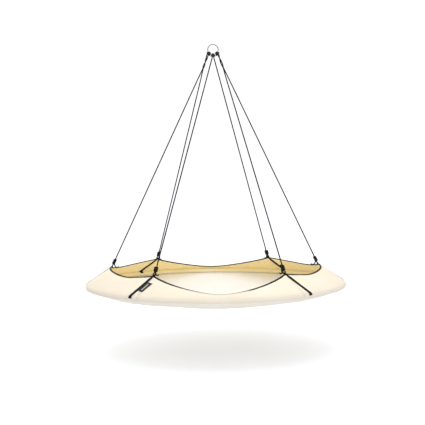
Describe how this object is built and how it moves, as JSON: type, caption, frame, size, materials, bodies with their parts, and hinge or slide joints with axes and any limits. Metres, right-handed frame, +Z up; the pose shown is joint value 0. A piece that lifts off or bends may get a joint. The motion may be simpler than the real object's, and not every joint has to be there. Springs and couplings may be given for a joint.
{
  "type": "saucer swing",
  "caption": "Round canvas saucer swing: a hooped cream seat with a scalloped collar, hung by black ropes and webbing straps from one steel ring.",
  "frame": {"origin": "the hang point: the inside of the top of the steel ring, where a hook carries it", "axes": "+Z up; left and right along X, in the plane of the ring; the front, with the label, faces -Y"},
  "size_m": [1.805, 1.7992, 1.7695],
  "materials": {
    "ring_steel": "polished stainless steel",
    "rope": "black braided polyester rope",
    "webbing": "black woven webbing",
    "binding_tape": "black woven binding tape",
    "canvas": "matt cream canvas",
    "hoop_tube": "bare drawn tube",
    "ferrule_steel": "bare steel",
    "label_weave": "black woven tag, no lettering"
  },
  "bodies": {
    "ring": {"hanging_ring": "ring_steel"},
    "hitches": {"hitch_left": "rope", "hitch_middle": "rope", "hitch_right": "rope"},
    "saucer": {"rope_left": "rope", "rope_back_left": "rope", "rope_front_left": "rope", "rope_back_right": "rope", "rope_front_right": "rope", "rope_right": "rope", "knot_left": "rope", "knot_back_left": "rope", "knot_front_left": "rope", "knot_back_right": "rope", "knot_front_right": "rope", "knot_right": "rope", "strap_left": "webbing", "strap_back_left": "webbing", "strap_front_left": "webbing", "strap_back_right": "webbing", "strap_front_right": "webbing", "strap_right": "webbing", "collar_right_back": "canvas", "collar_back": "canvas", "collar_left_back": "canvas", "collar_left_front": "canvas", "collar_front": "canvas", "collar_right_front": "canvas", "binding_right_back": "binding_tape", "binding_back": "binding_tape", "binding_left_back": "binding_tape", "binding_left_front": "binding_tape", "binding_front": "binding_tape", "binding_right_front": "binding_tape", "floor_panel": "canvas", "hoop_sleeve": "canvas", "hoop_tube_1": "hoop_tube", "hoop_tube_2": "hoop_tube", "hoop_tube_3": "hoop_tube", "hoop_tube_4": "hoop_tube", "hoop_tube_5": "hoop_tube", "hoop_tube_6": "hoop_tube", "hoop_ferrule_1": "ferrule_steel", "hoop_ferrule_2": "ferrule_steel", "hoop_ferrule_3": "ferrule_steel", "hoop_ferrule_4": "ferrule_steel", "hoop_ferrule_5": "ferrule_steel", "hoop_ferrule_6": "ferrule_steel", "label": "label_weave"}
  },
  "joints": [
    {"name": "sway", "type": "hinge", "parent": "ring", "child": "hitches", "pos_m": [0, 0, -0.0325], "axis": [0, 1, 0], "range_deg": [-35, 35]},
    {"name": "swing", "type": "hinge", "parent": "hitches", "child": "saucer", "pos_m": [0, 0, -0.0685], "axis": [1, 0, 0], "range_deg": [-35, 35]}
  ]
}
